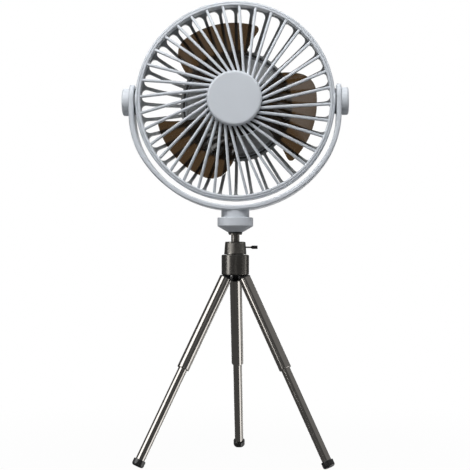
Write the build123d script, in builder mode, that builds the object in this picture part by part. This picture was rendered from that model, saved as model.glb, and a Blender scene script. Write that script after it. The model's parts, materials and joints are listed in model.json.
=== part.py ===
"""Tripod fan: a battery fan in a U-shaped yoke, on a mini tripod with a ball head.

Millimetres. +Z is up, the fan blows towards -Y and +X is to the right seen from the front.
The origin lies on the floor, at the centre of the part's bounding box.
"""

import os
from math import asin, atan2, cos, degrees, radians, sin, sqrt, tan

from build123d import *

os.makedirs("parts", exist_ok=True)

# Fits
running_fit = 0.05  # radial gap of a journal or a slide in its bore
seat_fit = 0.02  # radial gap of a piece pressed or screwed into another
face_gap = 0.05  # gap between flat faces that sit on each other
side_gap = 0.25  # gap beside a knuckle in its slot

# Legs, measured from the knuckle's pin along the leg
leg_spread = 27.9  # degrees from upright
leg_pivot_radius = 6.8  # from the tripod's axis to a knuckle pin
leg_length = 181.1
tube_wall = 0.5
upper_radius = 5.3
upper_start = 6.2
upper_end = 92.0
upper_round = 0.8  # rounded mouth of the outer tube
crimp_length = 2.0
lower_radius = 3.95
lower_overlap = 16.0  # length of inner tube held in the outer one
bush_length = 13.0
foot_radius = 5.2
foot_length = 5.8
foot_sole = 2.6
foot_round = 2.0
foot_flat = 0.35  # depth of the flat that the floor wears on the rounded foot
knuckle_radius = 2.9
knuckle_width = 4.8
knuckle_thickness = 5.0
knuckle_flange = 1.0
knuckle_plug = 7.8
pin_radius = 1.0
pin_length = 11.0

# Tripod head
barrel_radius = 11.9
barrel_wall = 0.7
barrel_height = 17.1
barrel_skirt = 1.8  # how far the barrel reaches below the knuckle pins
barrel_edge = 0.6
hub_drop = 0.8  # how far the leg hub shows below the barrel
hub_height = 10.7
collar_gap = 0.3  # between the barrel and the clamping collar
collar_height = 10.9
collar_top_radius = 8.85
collar_foot_radius = 9.7
collar_edge = 0.4
ball_radius = 6.0
ball_depth = 5.4  # ball centre below the collar's top
ball_lip = 2.5  # height of the collar's lip above the ball centre
ball_mouth = 6.3  # radius of the collar's flared mouth
spigot_radius = 7.2  # threaded spigot of the barrel, inside the collar
spigot_overlap = 1.7  # ball centre above the spigot's end
seat_rim = 1.9  # ball centre above the seat's rim
seat_wall = 0.75
seat_height = 8.4
lever_radius = 0.7
lever_rise = 0.7  # above the ball centre
lever_inner = 7.1
lever_outer = 15.0
tip_radius = 1.5
tip_start = 13.4
tip_end = 19.2
tip_taper = 1.2

# Ball stem and the fan's base
stem_radius = 3.6
stem_height = 5.9  # from the collar's top to the stem's flange
stem_flange_radius = 5.6
stem_flange = 1.2
stud_radius = 3.15
stud_length = 7.0
washer_radius = 6.1
washer_thickness = 1.3
base_radius = 15.4
base_foot_radius = 6.7
base_cone = 5.1
base_height = 7.3
base_edge = 0.5
insert_radius = 4.8
insert_length = 8.0
swivel_radius = 6.5
swivel_height = 3.5
screw_radius = 2.0
screw_head_radius = 3.6
screw_head = 2.2
screw_length = 8.0
screw_washer_radius = 4.8
screw_washer = 0.8

# Yoke
neck_radius = 12.1
neck_height = 6.05  # from the base to the lowest point of the strap
neck_shelf = 2.0
strap_clearance = 0.95  # between the rim and the ears
strap_thickness = 4.3
strap_width = 26.0
strap_edge = 1.4
strap_bow = 3.25  # how much further out the strap runs below than at its ears
strap_bend = 75.0  # outer radius of the strap's two shoulders
ear_top = 15.2  # above the tilt axis

# Tilt pivots
boss_radius = 11.0
boss_rise = 0.1  # how far a boss stands out of the rim
boss_sink = 1.8  # how far it starts inside the rim
journal_radius = 5.0
pivot_spigot_radius = 2.6
pivot_spigot_sink = 2.4
pivot_cap_radius = 12.0
pivot_cap_height = 6.3
pivot_cap_edge = 1.9
washer_gap = 0.1

# Guard, measured forwards from the tilt axis
rim_radius = 86.2
rim_front = 10.2
rim_rear = -9.5
rim_lip = 2.0  # wall around the front grille
rim_wall = 3.1
rim_ledge = 3.0
rim_edge = 1.6
ring_width = 2.35
ring_front = 10.6
ring_edge = 0.9
spoke_count = 36
spoke_offset = 9.5  # radius of the circle that the spokes are tangent to
spoke_width = 2.3
spoke_angle = 7.5  # degrees, outer end of the first spoke
spoke_front = 9.8
spoke_depth = 3.6
spoke_rise = 9.5
spoke_bulge = 2.2
spoke_edge = 0.7
boss_disc_radius = 22.5
boss_disc = 3.0
cap_radius = 23.6
cap_front = 24.4
cap_edge = 2.3
cap_spigot_radius = 8.0
rib_width = 2.7
rib_depth = 4.0
rib_front = -3.5
rib_bulge = 4.5
rib_flare = 4.0
rib_root_round = 1.2
rib_lip = 1.5  # solid strip between the windows and the drum
window_lip = 0.6  # and between the windows and the rim
rib_root = -25.5  # front of the ribs at the drum
drum_radius = 47.9
drum_wall = 2.0
drum_front = -24.5
drum_rear = -46.0
drum_ledge = -28.7
drum_ledge_width = 1.5
drum_ledge_thickness = 2.0

# Motor housing
plate_radius = 42.8
plate_front = -23.5
plate_thickness = 2.2
plate_groove = 3.5
plate_edge = 0.8
plate_wall = 2.2
post_circle = 38.5
post_radius = 2.9
post_length = 14.0
post_count = 4
cover_thickness = 2.4
cover_edge = 2.0
cover_spigot = 2.1
cover_screw_radius = 1.1
cover_screw_head_radius = 2.5
cover_screw_head = 1.3
cover_screw_length = 12.0
motor_radius = 12.0
motor_length = 15.7
motor_boss_radius = 3.6
motor_boss = 1.8
motor_screw_radius = 1.0
motor_screw_circle = 16.0
motor_screw_head_radius = 1.9
motor_screw_head = 1.1
motor_screw_length = 4.5
bush_radius = 3.0
bush_height = 3.0
shaft_radius = 1.5
shaft_front = 12.0
cell_radius = 9.1
cell_length = 50.0
cell_offset = 22.6
cell_gap = 0.5  # between a cell and the rear cover
cell_end_radius = 4.0
cell_end = 0.6
board_width = 56.0
board_height = 24.0
board_thickness = 1.2
board_gap = 0.4
switch_size = 6.0
switch_height = 1.6
button_radius = 6.0
button_flange_radius = 7.0
button_flange = 0.45
button_travel = 0.7
button_proud = 0.8
button_round = 0.5
socket_width = 9.0
socket_height = 3.2
socket_wall = 0.3
socket_depth = 6.9
socket_floor = 0.9
socket_drop = 9.6  # below the fan's axis
socket_tongue_width = 6.6
socket_tongue = 0.7

# Blades, measured in the front view; angles run anticlockwise from the blade's own reference line
blade_count = 3
blade_angle = 110.0  # reference line of the first blade
blade_clearance = 12.3  # between the blades and the rim
blade_lead = (-25.0, -32.5, -38.5)  # degrees at the hub, at mid span and at the tip
blade_trail = (55.0, 40.0, 27.0)
blade_mid_share = 0.56  # place of the mid span between hub and tip
blade_lead_round = 3.5
blade_trail_round = 17.0
blade_pitch = 12.0  # forward rise per radian
blade_level = -5.5
blade_camber = 1.2
blade_root_thickness = 2.4
blade_tip_thickness = 1.4
blade_reach = 42.0  # degrees of the untrimmed blade on either side
blade_spare = 6.2  # how far the untrimmed blade reaches past its tip
blade_root_sink = 9.0  # and below the hub's surface
hub_radius = 22.0
hub_wall = 1.8
hub_front = 8.0
hub_rear = -12.0
hub_boss_radius = 4.5
hub_boss_rear = -8.0
nut_radius = 5.0
nut_height = 5.0
nut_round = 2.0

# Places that follow from the sizes above
leg_sin = sin(radians(leg_spread))
leg_cos = cos(radians(leg_spread))
foot_core = leg_length - foot_round
foot_rim = foot_radius - foot_round
leg_pivot_z = foot_core * leg_cos + foot_rim * leg_sin + foot_round - foot_flat
rear_reach = leg_pivot_radius + foot_core * leg_sin + foot_rim * leg_cos + foot_round
front_share = cos(radians(60))
front_tilt = leg_sin * front_share
front_reach = leg_pivot_radius * front_share + foot_core * front_tilt
front_reach += foot_rim * sqrt(1 - front_tilt**2) + foot_round
axis_y = (front_reach - rear_reach) / 2

barrel_bottom = leg_pivot_z - barrel_skirt
barrel_top = barrel_bottom + barrel_height
hub_bottom = barrel_bottom - hub_drop
hub_top = hub_bottom + hub_height
barrel_bore = barrel_radius - barrel_wall
collar_bottom = barrel_top + collar_gap
collar_top = collar_bottom + collar_height
ball_z = collar_top - ball_depth
lever_z = ball_z + lever_rise
spigot_top = ball_z - spigot_overlap
seat_top = ball_z - seat_rim
seat_bottom = seat_top - seat_height
flange_z = collar_top + stem_height
washer_z = flange_z + stem_flange
base_bottom = washer_z + washer_thickness
base_top = base_bottom + base_cone + base_height
insert_top = base_bottom + insert_length
swivel_top = base_top + swivel_height
neck_bottom = base_top + face_gap
ear_inner = rim_radius + strap_clearance
ear_outer = ear_inner + strap_thickness
strap_inner = ear_inner + strap_bow
strap_outer = ear_outer + strap_bow
bend_x = ear_outer - strap_bend
bend_drop = sqrt((strap_outer - strap_bend) ** 2 - bend_x**2)
bend_angle = degrees(atan2(bend_drop, bend_x))
rim_inner = rim_radius - rim_wall
boss_face = rim_radius + boss_rise
boss_root = rim_radius - boss_sink
pivot_spigot_end = rim_radius - pivot_spigot_sink
pivot_cap_end = ear_outer + pivot_cap_height
blade_tip = rim_inner - blade_clearance
blade_mid = hub_radius + blade_mid_share * (blade_tip - hub_radius)
blade_inner = hub_radius - blade_root_sink
blade_outer = blade_tip + blade_spare
pivot_z = base_top + neck_height + strap_outer
shelf_top = swivel_top + face_gap + neck_shelf
cap_back = spoke_front + spoke_rise + 3 * face_gap
cover_front = drum_rear - face_gap
cover_rear = cover_front - cover_thickness
plate_back = plate_front - plate_thickness
motor_front = plate_back - face_gap
motor_rear = motor_front - motor_length
board_front = motor_rear - board_gap
board_rear = board_front - board_thickness
switch_rear = board_rear - switch_height
cell_y = cover_front + cell_gap + cell_radius
post_end = plate_back - post_length

# Working planes and axes
upright = Plane(origin=(0, axis_y, 0), x_dir=(1, 0, 0), z_dir=(0, -1, 0))  # radius, height
mast = Axis((0, axis_y, 0), (0, 0, 1))
fan_centre = (0, axis_y, pivot_z)
fan_front = Plane(origin=fan_centre, x_dir=(1, 0, 0), z_dir=(0, -1, 0))  # seen from the front
fan_section = Plane(origin=fan_centre, x_dir=(1, 0, 0), z_dir=(0, 0, -1))  # radius, forwards
fan_axis = Axis(fan_centre, (0, -1, 0))


def polar(radius, angle):
    """Point at a radius and an angle in degrees."""
    return (radius * cos(radians(angle)), radius * sin(radians(angle)))


def level(height):
    """Horizontal plane on the tripod's axis."""
    return Plane(origin=(0, axis_y, height))


def finish(piece, name):
    """Name a finished piece and write its file."""
    piece.part.label = name
    export_step(piece.part, f"parts/{name}.step")


def turned(name, section, axis, *outline):
    """Piece turned about an axis from a closed outline of (radius, place) points."""
    with BuildPart() as piece:
        with BuildSketch(section):
            with BuildLine():
                Polyline(*outline, close=True)
            make_face()
        revolve(axis=axis)
    finish(piece, name)


# Legs: knuckle, outer tube, inner tube, slide bush and foot, one set for each side
leg_azimuths = {"right": -30.0, "rear": 90.0, "left": 210.0}
upper_bore = upper_radius - tube_wall
lower_start = upper_end - lower_overlap
lower_end = leg_length - foot_sole
bush_end = upper_end - crimp_length - face_gap
flange_start = upper_start - knuckle_flange
leg_planes = {}
for side, azimuth in leg_azimuths.items():
    out_x, out_y = polar(1, azimuth)
    pivot = (leg_pivot_radius * out_x, axis_y + leg_pivot_radius * out_y, leg_pivot_z)
    along = (leg_sin * out_x, leg_sin * out_y, -leg_cos)
    across = (leg_cos * out_x, leg_cos * out_y, leg_sin)
    # Both planes hold the leg: one follows it, the other stays upright for the hub's slot
    section = Plane(origin=pivot, x_dir=across, z_dir=(-out_y, out_x, 0))
    leg_planes[side] = Plane(origin=pivot, x_dir=(out_x, out_y, 0), z_dir=(-out_y, out_x, 0))
    leg_axis = Axis(pivot, along)

    with BuildPart() as knuckle:
        with BuildSketch(section):
            Circle(knuckle_radius)
            with Locations((0, flange_start / 2)):
                Rectangle(knuckle_width, flange_start)
            Circle(pin_radius + running_fit, mode=Mode.SUBTRACT)
        extrude(amount=knuckle_thickness / 2, both=True)
        with BuildSketch(section):
            with BuildLine():
                Polyline(
                    (0, flange_start),
                    (upper_radius, flange_start),
                    (upper_radius, upper_start - seat_fit),
                    (upper_bore - seat_fit, upper_start - seat_fit),
                    (upper_bore - seat_fit, upper_start + knuckle_plug),
                    (0, upper_start + knuckle_plug),
                    close=True,
                )
            make_face()
        revolve(axis=leg_axis)
    finish(knuckle, f"leg_knuckle_{side}")

    with BuildPart() as upper_tube:
        with BuildSketch(section):
            with BuildLine():
                Polyline(
                    (upper_bore, upper_start),
                    (upper_radius, upper_start),
                    (upper_radius, upper_end),
                    (lower_radius + running_fit, upper_end),
                    (lower_radius + running_fit, upper_end - crimp_length),
                    (upper_bore, upper_end - crimp_length),
                    close=True,
                )
            outline = make_face()
            fillet(outline.vertices().sort_by_distance((upper_radius, upper_end))[0], upper_round)
        revolve(axis=leg_axis)
    finish(upper_tube, f"leg_upper_{side}")

    turned(
        f"leg_lower_{side}",
        section,
        leg_axis,
        (lower_radius - tube_wall, lower_start),
        (lower_radius, lower_start),
        (lower_radius, lower_end),
        (lower_radius - tube_wall, lower_end),
    )
    turned(
        f"slide_bush_{side}",
        section,
        leg_axis,
        (lower_radius + seat_fit, bush_end - bush_length),
        (upper_bore - running_fit, bush_end - bush_length),
        (upper_bore - running_fit, bush_end),
        (lower_radius + seat_fit, bush_end),
    )

    with BuildPart() as foot:
        with BuildSketch(section):
            with BuildLine():
                Polyline(
                    (0, lower_end),
                    (lower_radius + seat_fit, lower_end),
                    (lower_radius + seat_fit, leg_length - foot_length),
                    (foot_radius, leg_length - foot_length),
                    (foot_radius, leg_length),
                    (0, leg_length),
                    close=True,
                )
            outline = make_face()
            fillet(outline.vertices().sort_by_distance((foot_radius, leg_length))[0], foot_round)
        revolve(axis=leg_axis)
        split(bisect_by=Plane.XY, keep=Keep.TOP)
    finish(foot, f"foot_{side}")

# Leg hub: a black block in the barrel with a slot and a pin for each knuckle
slot_width = knuckle_thickness + 2 * side_gap
slot_reach = knuckle_radius + 2 * side_gap
with BuildPart() as leg_hub:
    with BuildSketch(level(hub_bottom)):
        Circle(barrel_bore - seat_fit)
    extrude(amount=hub_height)
    for plane in leg_planes.values():
        with BuildSketch(plane):
            with Locations((-slot_reach, -slot_reach)):
                Rectangle(
                    slot_reach + barrel_bore,
                    slot_reach + leg_pivot_z - hub_bottom + slot_reach,
                    align=(Align.MIN, Align.MIN),
                )
        extrude(amount=slot_width / 2, both=True, mode=Mode.SUBTRACT)
        with BuildSketch(plane):
            Circle(pin_radius + seat_fit)
        extrude(amount=pin_length / 2, both=True, mode=Mode.SUBTRACT)
finish(leg_hub, "leg_hub")

with BuildPart() as leg_pins:
    for plane in leg_planes.values():
        with BuildSketch(plane):
            Circle(pin_radius)
        extrude(amount=pin_length / 2, both=True)
finish(leg_pins, "leg_pins")

# Barrel: turned metal body with the hub below, and a spigot above that takes the ball's seat
with BuildPart() as barrel:
    with BuildSketch(upright):
        with BuildLine():
            Polyline(
                (barrel_bore, barrel_bottom),
                (barrel_radius, barrel_bottom),
                (barrel_radius, barrel_top),
                (spigot_radius, barrel_top),
                (spigot_radius, spigot_top),
                (spigot_radius - seat_wall, spigot_top),
                (spigot_radius - seat_wall, seat_bottom - face_gap),
                (0, seat_bottom - face_gap),
                (0, hub_top + face_gap),
                (barrel_bore, hub_top + face_gap),
                close=True,
            )
        outline = make_face()
        chamfer(outline.vertices().sort_by_distance((barrel_radius, barrel_top))[0], barrel_edge)
    revolve(axis=mast)
finish(barrel, "barrel")

# Seat: plastic cup under the ball
seat_radius = spigot_radius - seat_wall - running_fit
cup_radius = ball_radius + running_fit
with BuildPart() as ball_seat:
    with BuildSketch(upright):
        with BuildLine():
            Polyline(
                (0, ball_z - cup_radius),
                (0, seat_bottom),
                (seat_radius, seat_bottom),
                (seat_radius, seat_top),
                (sqrt(cup_radius**2 - seat_rim**2), seat_top),
            )
            ThreePointArc(
                (sqrt(cup_radius**2 - seat_rim**2), seat_top),
                (cup_radius * sin(radians(35)), ball_z - cup_radius * cos(radians(35))),
                (0, ball_z - cup_radius),
            )
        make_face()
    revolve(axis=mast)
finish(ball_seat, "ball_seat")

# Clamping collar: turns on the spigot and holds the ball by its lip
lip_radius = sqrt((ball_radius + 2 * running_fit) ** 2 - ball_lip**2)
socket_radius = ball_radius + 2 * running_fit
with BuildPart() as knurled_collar:
    with BuildSketch(upright):
        with BuildLine():
            Polyline(
                (socket_radius, ball_z),
                (socket_radius, spigot_top + face_gap),
                (spigot_radius + running_fit, spigot_top + face_gap),
                (spigot_radius + running_fit, collar_bottom),
                (collar_foot_radius, collar_bottom),
                (collar_top_radius, collar_top),
                (ball_mouth, collar_top),
                (lip_radius, ball_z + ball_lip),
            )
            ThreePointArc(
                (lip_radius, ball_z + ball_lip),
                (socket_radius * cos(radians(12)), ball_z + socket_radius * sin(radians(12))),
                (socket_radius, ball_z),
            )
        outline = make_face()
        chamfer(
            outline.vertices().sort_by_distance((collar_top_radius, collar_top))[0],
            collar_edge,
        )
    revolve(axis=mast)
    with BuildSketch(Plane(origin=(lever_inner, axis_y, lever_z), z_dir=(1, 0, 0))):
        Circle(lever_radius + seat_fit)
    extrude(amount=collar_foot_radius, mode=Mode.SUBTRACT)
finish(knurled_collar, "knurled_collar")

# Lever of the collar and its black tip
lever_section = Plane(origin=(0, axis_y, lever_z), x_dir=(0, 0, 1), z_dir=(0, 1, 0))  # radius, outwards
lever_axis = Axis((0, axis_y, lever_z), (1, 0, 0))
turned(
    "lock_lever",
    lever_section,
    lever_axis,
    (0, lever_inner + face_gap),
    (lever_radius, lever_inner + face_gap),
    (lever_radius, lever_outer),
    (0, lever_outer),
)
turned(
    "lever_tip",
    lever_section,
    lever_axis,
    (0, lever_outer + face_gap),
    (lever_radius + seat_fit, lever_outer + face_gap),
    (lever_radius + seat_fit, tip_start),
    (tip_radius, tip_start + tip_taper),
    (tip_radius, tip_end),
    (0, tip_end),
)

# Ball with its stem, flange and threaded stud
with BuildPart() as ball_stud:
    stem_start = ball_z + sqrt(ball_radius**2 - stem_radius**2)
    with BuildSketch(upright):
        with BuildLine():
            ThreePointArc((0, ball_z - ball_radius), (ball_radius, ball_z), (stem_radius, stem_start))
            Polyline(
                (stem_radius, stem_start),
                (stem_radius, flange_z),
                (stem_flange_radius, flange_z),
                (stem_flange_radius, washer_z),
                (stud_radius, washer_z),
                (stud_radius, base_bottom + stud_length),
                (0, base_bottom + stud_length),
                (0, ball_z - ball_radius),
            )
        make_face()
    revolve(axis=mast)
finish(ball_stud, "ball_stud")

turned(
    "rubber_washer",
    upright,
    mast,
    (stud_radius + seat_fit, washer_z + face_gap / 2),
    (washer_radius, washer_z + face_gap / 2),
    (washer_radius, base_bottom - face_gap / 2),
    (stud_radius + seat_fit, base_bottom - face_gap / 2),
)

# Base collar: conical underside, threaded insert inside, and the round boss that the yoke swivels on
with BuildPart() as yoke_collar:
    with BuildSketch(upright):
        with BuildLine():
            Polyline(
                (insert_radius + seat_fit, base_bottom),
                (base_foot_radius, base_bottom),
                (base_radius, base_bottom + base_cone),
                (base_radius, base_top),
                (swivel_radius, base_top),
                (swivel_radius, swivel_top),
                (screw_radius + seat_fit, swivel_top),
                (screw_radius + seat_fit, insert_top),
                (insert_radius + seat_fit, insert_top),
                close=True,
            )
        outline = make_face()
        fillet(outline.vertices().group_by(Axis.X)[-1], base_edge)
    revolve(axis=mast)
finish(yoke_collar, "yoke_collar")

turned(
    "thread_insert",
    upright,
    mast,
    (stud_radius + seat_fit, base_bottom + face_gap),
    (insert_radius, base_bottom + face_gap),
    (insert_radius, insert_top - face_gap),
    (stud_radius + seat_fit, insert_top - face_gap),
)
washer_seat = shelf_top + face_gap
turned(
    "swivel_washer",
    upright,
    mast,
    (screw_radius + seat_fit, washer_seat),
    (screw_washer_radius, washer_seat),
    (screw_washer_radius, washer_seat + screw_washer),
    (screw_radius + seat_fit, washer_seat + screw_washer),
)
head_seat = washer_seat + screw_washer + face_gap
turned(
    "swivel_screw",
    upright,
    mast,
    (0, head_seat + screw_head),
    (screw_head_radius, head_seat + screw_head),
    (screw_head_radius, head_seat),
    (screw_radius, head_seat),
    (screw_radius, head_seat - screw_length),
    (0, head_seat - screw_length),
)

# Yoke: a U-shaped strap with rounded ears and a round neck
with BuildPart() as yoke:
    with BuildSketch(fan_front):
        with BuildLine():
            for ear, bottom in ((ear_outer, strap_outer), (ear_inner, strap_inner)):
                Line((ear, ear_top), (ear, -bend_drop))
                CenterArc((bend_x, -bend_drop), ear - bend_x, 0, -bend_angle)
                CenterArc((0, 0), bottom, -bend_angle, 2 * bend_angle - 180)
                CenterArc((-bend_x, -bend_drop), ear - bend_x, bend_angle - 180, -bend_angle)
                Line((-ear, -bend_drop), (-ear, ear_top))
            for hand in (-1, 1):
                Line((hand * ear_inner, ear_top), (hand * ear_outer, ear_top))
        make_face()
    extrude(amount=strap_width / 2, both=True)
    fillet(yoke.edges().filter_by(Axis.X).group_by(Axis.Z)[-1], strap_width / 2 - side_gap)
    side_faces = yoke.faces().sort_by(Axis.Y)
    fillet(side_faces[0].edges() + side_faces[-1].edges(), strap_edge)
    with BuildSketch(level(neck_bottom)):
        Circle(neck_radius)
    extrude(amount=pivot_z - strap_outer + strap_thickness / 2 - neck_bottom)
    for hand in (-1, 1):
        with BuildSketch(Plane(origin=(hand * ear_inner, axis_y, pivot_z), z_dir=(hand, 0, 0))):
            Circle(journal_radius + running_fit)
        extrude(amount=strap_thickness, mode=Mode.SUBTRACT)
    with BuildSketch(level(neck_bottom)):
        Circle(swivel_radius + running_fit)
    extrude(amount=swivel_top + face_gap - neck_bottom, mode=Mode.SUBTRACT)
    with BuildSketch(level(neck_bottom)):
        Circle(screw_radius + running_fit)
    extrude(amount=shelf_top - neck_bottom, mode=Mode.SUBTRACT)
    with BuildSketch(level(shelf_top)):
        Circle(screw_washer_radius + side_gap)
    extrude(amount=pivot_z - strap_inner - shelf_top + strap_edge, mode=Mode.SUBTRACT)
finish(yoke, "yoke")

# Pivot caps with their journals, and the friction washers between rim and ears
washer_root = boss_face + face_gap
for hand, side in ((-1, "left"), (1, "right")):
    with BuildPart() as pivot_cap:
        with BuildSketch(Plane(origin=fan_centre, x_dir=(0, 0, 1), z_dir=(0, hand, 0))):
            with BuildLine():
                Polyline(
                    (0, pivot_spigot_end),
                    (pivot_spigot_radius, pivot_spigot_end),
                    (pivot_spigot_radius, boss_face + face_gap),
                    (journal_radius, boss_face + face_gap),
                    (journal_radius, ear_outer + washer_gap),
                    (pivot_cap_radius, ear_outer + washer_gap),
                    (pivot_cap_radius, pivot_cap_end),
                    (0, pivot_cap_end),
                    close=True,
                )
            outline = make_face()
            corner = (pivot_cap_radius, pivot_cap_end)
            fillet(outline.vertices().sort_by_distance(corner)[0], pivot_cap_edge)
        revolve(axis=Axis(fan_centre, (1, 0, 0)))
    finish(pivot_cap, f"pivot_cap_{side}")

with BuildPart() as friction_washers:
    for hand in (-1, 1):
        with BuildSketch(Plane(origin=(hand * washer_root, axis_y, pivot_z), z_dir=(hand, 0, 0))):
            Circle(boss_radius)
            Circle(journal_radius + seat_fit, mode=Mode.SUBTRACT)
        extrude(amount=ear_inner - washer_gap - washer_root)
    # Beside a shoulder that bends in early, a washer keeps clear of the strap
    with BuildSketch(fan_front):
        Rectangle(2 * ear_outer, 2 * ear_top)
        with Locations((0, (ear_top - bend_drop) / 2)):
            Rectangle(2 * ear_inner, ear_top + bend_drop, mode=Mode.SUBTRACT)
        with Locations((-bend_x, -bend_drop), (bend_x, -bend_drop)):
            Circle(ear_inner - bend_x - washer_gap / 2, mode=Mode.SUBTRACT)
    extrude(amount=strap_width / 2, both=True, mode=Mode.SUBTRACT)
finish(friction_washers, "friction_washers")

# Front grille: a ring set into the rim, straight spokes tangent to a small circle, and a centre boss
ring_outer = rim_radius - rim_lip - running_fit
ring_inner = ring_outer - ring_width
ring_mid = ring_outer - ring_width / 2
spoke_end = sqrt(ring_mid**2 - spoke_offset**2)
spoke_start = sqrt((boss_disc_radius - boss_disc) ** 2 - spoke_offset**2)
with BuildPart() as spoke:
    spoke_plane = Plane(
        origin=(0, axis_y, pivot_z - spoke_offset), x_dir=(1, 0, 0), z_dir=(0, 0, -1)
    )
    spoke_mid = (spoke_start + spoke_end) / 2
    front_mid = spoke_front + spoke_rise / 2 + spoke_bulge
    with BuildSketch(spoke_plane):
        with BuildLine():
            ThreePointArc(
                (spoke_start, spoke_front + spoke_rise),
                (spoke_mid, front_mid),
                (spoke_end, spoke_front),
            )
            Line((spoke_end, spoke_front), (spoke_end, spoke_front - spoke_depth))
            ThreePointArc(
                (spoke_end, spoke_front - spoke_depth),
                (spoke_mid, front_mid - spoke_depth),
                (spoke_start, spoke_front + spoke_rise - boss_disc),
            )
            Line(
                (spoke_start, spoke_front + spoke_rise - boss_disc),
                (spoke_start, spoke_front + spoke_rise),
            )
        make_face()
    extrude(amount=spoke_width / 2, both=True)
    fillet(spoke.edges().filter_by(GeomType.CIRCLE).sort_by(Axis.Y)[:2], spoke_edge)

spoke_step = 360 / spoke_count
spoke_turn = spoke_angle + degrees(asin(spoke_offset / ring_mid))
with BuildPart() as front_grille:
    with BuildSketch(fan_section):
        with BuildLine():
            Polyline(
                (ring_inner, rim_ledge + face_gap),
                (ring_outer, rim_ledge + face_gap),
                (ring_outer, ring_front),
                (ring_inner, ring_front),
                close=True,
            )
        outline = make_face()
        fillet(outline.vertices().group_by(Axis.Y)[-1], ring_edge)
        with BuildLine():
            Polyline(
                (cap_spigot_radius + seat_fit, spoke_front + spoke_rise - boss_disc),
                (boss_disc_radius, spoke_front + spoke_rise - boss_disc),
                (boss_disc_radius, spoke_front + spoke_rise + 2 * face_gap),
                (cap_spigot_radius + seat_fit, spoke_front + spoke_rise + 2 * face_gap),
                close=True,
            )
        make_face()
    revolve(axis=fan_axis)
    add([spoke.part.rotate(fan_axis, spoke_turn + k * spoke_step) for k in range(spoke_count)])
finish(front_grille, "front_grille")

with BuildPart() as front_cap:
    with BuildSketch(fan_section):
        with BuildLine():
            Polyline(
                (0, spoke_front + spoke_rise - boss_disc),
                (cap_spigot_radius, spoke_front + spoke_rise - boss_disc),
                (cap_spigot_radius, cap_back),
                (cap_radius, cap_back),
                (cap_radius, cap_front),
                (0, cap_front),
                close=True,
            )
        outline = make_face()
        fillet(outline.vertices().sort_by_distance((cap_radius, cap_front))[0], cap_edge)
    revolve(axis=fan_axis)
finish(front_cap, "front_cap")

# Rear grille: rim with a ledge for the front ring, a bowl of radial ribs, and the motor drum
drum_bore = drum_radius - drum_wall
rib_outer = rim_radius - rim_wall / 2
rib_inner = drum_radius - drum_wall / 2
chord_r = rib_outer - rib_inner
chord_f = rib_front - rib_root
chord = sqrt(chord_r**2 + chord_f**2)
bow_r = (rib_outer + rib_inner) / 2 + rib_bulge * chord_f / chord
bow_f = (rib_front + rib_root) / 2 - rib_bulge * chord_r / chord
window_outer = rim_inner - window_lip
window_inner = drum_radius + rib_lip
rib_step = 360 / spoke_count


def window_corner(radius, hand):
    """Corner of a window where its edge, beside a rib, meets a circle."""
    angle = rib_step / 2 - degrees(asin(rib_width / 2 / radius))
    return polar(radius, hand * angle)


with BuildPart() as rear_grille:
    with BuildSketch(fan_section):
        with BuildLine():
            ThreePointArc((rib_outer, rib_front), (bow_r, bow_f), (rib_inner, rib_root))
            Line((rib_inner, rib_root), (rib_inner, rib_root - rib_depth))
            ThreePointArc(
                (rib_inner, rib_root - rib_depth),
                (bow_r, bow_f - rib_depth),
                (rib_outer, rib_front - rib_depth),
            )
            Line((rib_outer, rib_front - rib_depth), (rib_outer, rib_front))
        make_face()
    revolve(axis=fan_axis)
    with BuildSketch(fan_front):
        with BuildSketch(mode=Mode.PRIVATE) as window:
            with BuildLine():
                Line(window_corner(window_inner, 1), window_corner(window_outer, 1))
                ThreePointArc(
                    window_corner(window_outer, 1),
                    (window_outer, 0),
                    window_corner(window_outer, -1),
                )
                Line(window_corner(window_outer, -1), window_corner(window_inner, -1))
                ThreePointArc(
                    window_corner(window_inner, -1),
                    (window_inner, 0),
                    window_corner(window_inner, 1),
                )
            make_face()
            fillet(window.vertices().group_by(Axis.X)[-1], rib_flare)
            fillet(window.vertices().group_by(Axis.X)[0], rib_root_round)
        Circle(rim_radius)
        with PolarLocations(0, spoke_count, start_angle=rib_step / 2):
            add(window.sketch, mode=Mode.SUBTRACT)
    extrude(amount=drum_rear, mode=Mode.INTERSECT)
    with BuildSketch(fan_section):
        with BuildLine():
            Polyline(
                (rim_radius, rim_front),
                (rim_radius - rim_lip, rim_front),
                (rim_radius - rim_lip, rim_ledge),
                (rim_inner, rim_ledge),
                (rim_inner, rim_rear),
                (rim_radius, rim_rear),
                close=True,
            )
        outline = make_face()
        fillet(outline.vertices().sort_by_distance((rim_radius, rim_front))[0], rim_edge)
        with BuildLine():
            Polyline(
                (drum_bore, drum_front),
                (drum_radius, drum_front),
                (drum_radius, drum_rear),
                (drum_bore, drum_rear),
                (drum_bore, drum_ledge - drum_ledge_thickness),
                (drum_bore - drum_ledge_width, drum_ledge - drum_ledge_thickness),
                (drum_bore - drum_ledge_width, drum_ledge),
                (drum_bore, drum_ledge),
                close=True,
            )
        make_face()
    revolve(axis=fan_axis)
    for hand in (-1, 1):
        with BuildSketch(Plane(origin=(hand * boss_root, axis_y, pivot_z), z_dir=(hand, 0, 0))):
            Circle(boss_radius)
        extrude(amount=boss_face - boss_root)
        spigot_plane = Plane(
            origin=(hand * (pivot_spigot_end - face_gap), axis_y, pivot_z), z_dir=(hand, 0, 0)
        )
        with BuildSketch(spigot_plane):
            Circle(pivot_spigot_radius + seat_fit)
        extrude(amount=boss_face - pivot_spigot_end + face_gap, mode=Mode.SUBTRACT)
finish(rear_grille, "rear_grille")

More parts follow.
